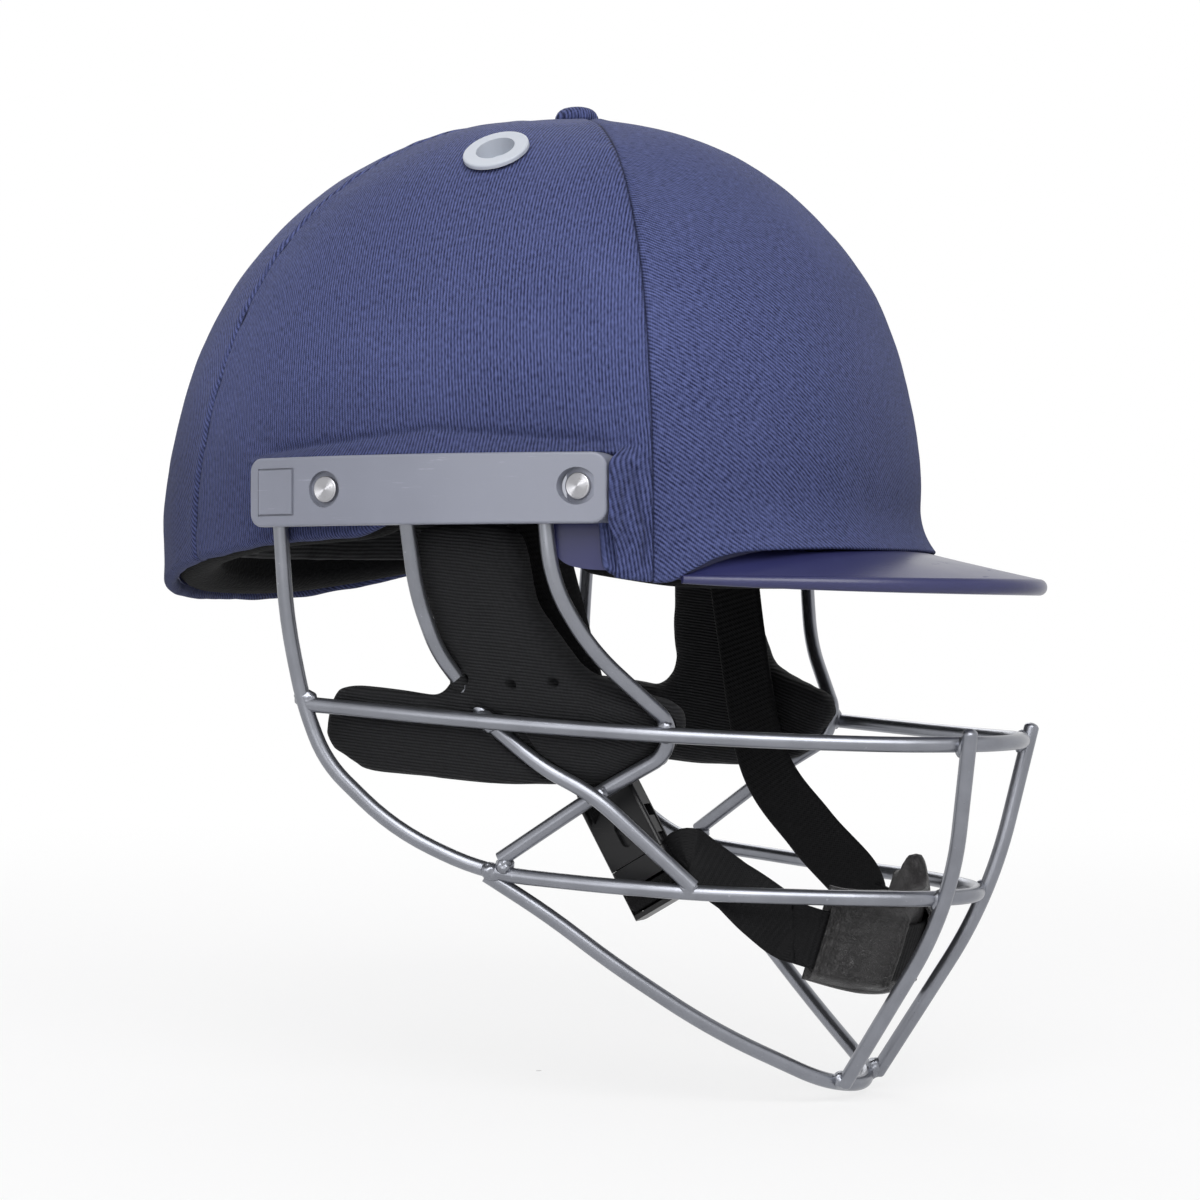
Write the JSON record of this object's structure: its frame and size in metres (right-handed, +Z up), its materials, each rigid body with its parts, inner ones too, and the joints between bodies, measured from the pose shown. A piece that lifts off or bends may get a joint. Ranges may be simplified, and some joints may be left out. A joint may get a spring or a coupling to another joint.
{
  "type": "cricket helmet",
  "caption": "Batting helmet: cloth-covered dome with peak, bent wire face guard on side brackets, cheek pads and a buckled chin strap with a cup.",
  "frame": {"origin": "centre of the head opening at rim level, the helmet worn level", "axes": "+X forward towards the peak, +Y the wearer's left, +Z up"},
  "size_m": [0.314, 0.237, 0.3326],
  "materials": {
    "cover_cloth": "navy cotton twill, matte with a faint sheen",
    "shell_plastic": "moulded fibre-filled plastic, satin navy",
    "peak_plastic": "moulded navy plastic, satin",
    "eyelet_plastic": "light grey moulded plastic",
    "bracket_plastic": "slate grey moulded plastic, satin",
    "guard_wire": "bent steel wire, metallic slate coating, glossy",
    "fastener_steel": "bright steel, turned",
    "liner_foam": "closed-cell black foam, matte",
    "padding_cloth": "black brushed cloth over soft foam",
    "pad_cloth": "black ribbed stretch cloth over foam",
    "webbing": "black woven webbing, ribbed across",
    "buckle_plastic": "black moulded plastic, satin",
    "cup_leather": "black creased leather, shiny where worn"
  },
  "bodies": {
    "helmet": {"outer_shell": "shell_plastic", "cover_front_panel": "cover_cloth", "cover_side_panel_right": "cover_cloth", "cover_side_panel_left": "cover_cloth", "cover_rear_panel": "cover_cloth", "cover_button": "cover_cloth", "vent_eyelet_right": "eyelet_plastic", "vent_eyelet_left": "eyelet_plastic", "peak": "peak_plastic", "impact_liner": "liner_foam", "crown_pad": "padding_cloth", "brow_pad": "padding_cloth", "nape_pad": "padding_cloth", "side_comfort_pad_right": "padding_cloth", "side_comfort_pad_left": "padding_cloth", "guard_bracket_right": "bracket_plastic", "guard_bracket_left": "bracket_plastic", "guard_carrier_right": "guard_wire", "guard_carrier_left": "guard_wire", "bracket_screws": "fastener_steel", "bracket_nuts": "fastener_steel", "guard_middle_bar": "guard_wire", "guard_top_bar": "guard_wire", "guard_jaw_wire": "guard_wire", "guard_front_wire_right": "guard_wire", "guard_front_wire_left": "guard_wire", "guard_cross_wire_right": "guard_wire", "guard_cross_wire_left": "guard_wire", "guard_upright_right": "guard_wire", "guard_upright_left": "guard_wire", "cheek_pad_right": "pad_cloth", "cheek_pad_left": "pad_cloth", "strap_anchor_screw_right": "fastener_steel", "strap_anchor_screw_left": "fastener_steel"},
    "chin_strap": {"strap_anchor_tab_right": "fastener_steel", "strap_anchor_tab_left": "fastener_steel", "strap_right_upper": "webbing", "strap_left": "webbing", "strap_chin_loop": "webbing", "strap_front": "webbing", "buckle_socket": "buckle_plastic"},
    "chin_cup": {"chin_cup_cover": "cup_leather", "chin_cup_lining": "padding_cloth"},
    "plug": {"buckle_plug": "buckle_plastic"},
    "latch_arm_rear": {"buckle_arm_rear": "buckle_plastic"},
    "latch_arm_front": {"buckle_arm_front": "buckle_plastic"}
  },
  "joints": [
    {"name": "strap_swing", "type": "hinge", "parent": "helmet", "child": "chin_strap", "pos_m": [0.036, 0, 0.046], "axis": [0, 1, 0], "range_deg": [-1, 25]},
    {"name": "cup_slide", "type": "hinge", "parent": "chin_strap", "child": "chin_cup", "pos_m": [0.103, 0, -0.104], "axis": [0.309, 0, 0.9511], "range_deg": [-7, 7]},
    {"name": "buckle_release", "type": "slide", "parent": "chin_strap", "child": "plug", "axis": [0.5, 0, -0.866], "range_m": [0, 0.022], "deforming": ["strap_front"]},
    {"name": "latch_rear", "type": "hinge", "parent": "plug", "child": "latch_arm_rear", "pos_m": [0.05951, -0.051, -0.08994], "axis": [0, 1, 0], "range_deg": [0, 4], "stiffness_Nm_per_rad": 0.002},
    {"name": "latch_front", "type": "hinge", "parent": "plug", "child": "latch_arm_front", "pos_m": [0.07319, -0.051, -0.08204], "axis": [0, -1, 0], "range_deg": [0, 5]}
  ],
  "couplings": [
    {"joint": "latch_front", "follows": "latch_rear", "ratio": 1}
  ]
}
